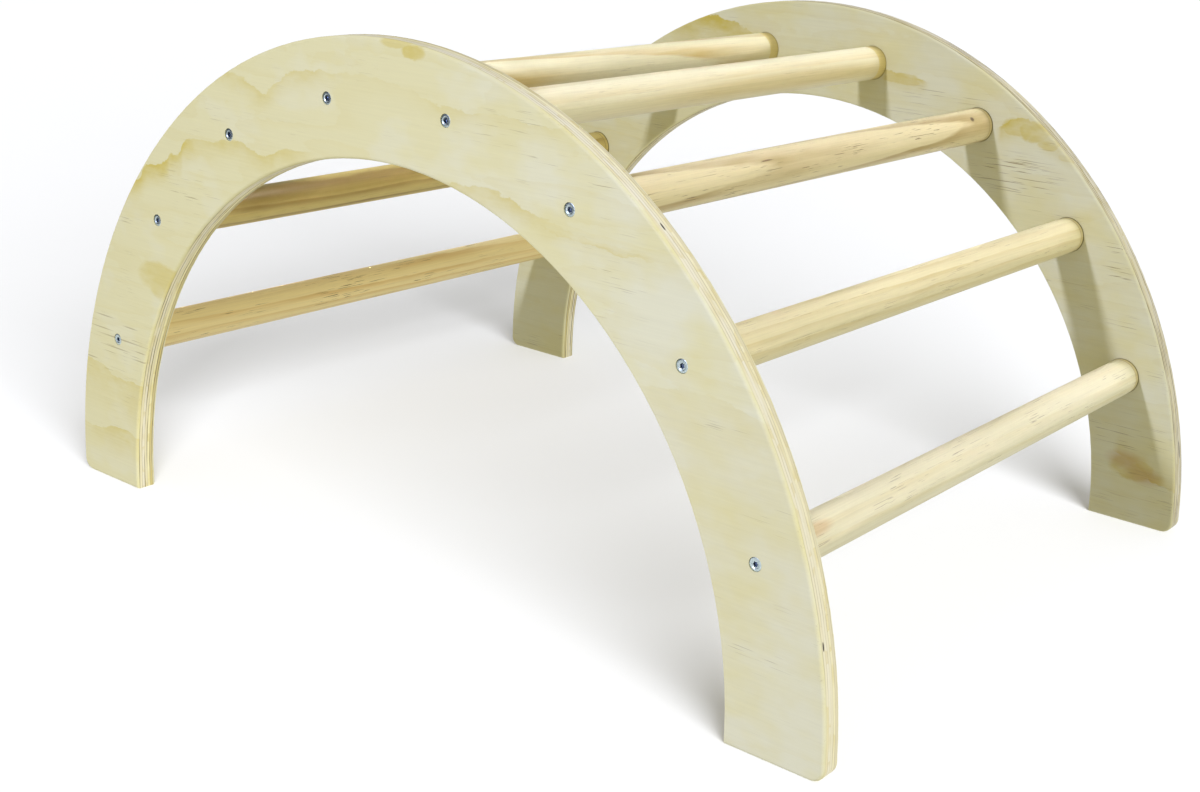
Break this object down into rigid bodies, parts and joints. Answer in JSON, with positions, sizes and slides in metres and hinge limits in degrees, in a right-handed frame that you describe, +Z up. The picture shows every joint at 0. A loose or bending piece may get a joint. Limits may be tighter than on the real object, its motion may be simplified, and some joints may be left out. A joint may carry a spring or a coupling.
{
  "type": "rocker arch",
  "caption": "Wooden rocker arch for children: two plywood arch panels joined by round rungs, to climb over on its feet or to rock in upside down.",
  "frame": {"origin": "on the floor, under the middle of the arch", "axes": "+X along the arch to the right foot, +Y from the near panel to the far panel, +Z up"},
  "size_m": [0.83, 0.576, 0.44],
  "materials": {
    "plywood": "satin clear lacquer over a pale pine veneer, edges showing the plies",
    "pine": "satin clear lacquer on turned pine",
    "zinc": "bright zinc plating"
  },
  "bodies": {
    "root": {"near_arch_panel": "plywood", "far_arch_panel": "plywood", "rung_1": "pine", "rung_2": "pine", "rung_3": "pine", "rung_4": "pine", "rung_5": "pine", "rung_6": "pine", "rung_7": "pine", "rung_8": "pine", "near_screw_1": "zinc", "near_screw_2": "zinc", "near_screw_3": "zinc", "near_screw_4": "zinc", "near_screw_5": "zinc", "near_screw_6": "zinc", "near_screw_7": "zinc", "near_screw_8": "zinc", "far_screw_1": "zinc", "far_screw_2": "zinc", "far_screw_3": "zinc", "far_screw_4": "zinc", "far_screw_5": "zinc", "far_screw_6": "zinc", "far_screw_7": "zinc", "far_screw_8": "zinc"}
  },
  "joints": []
}
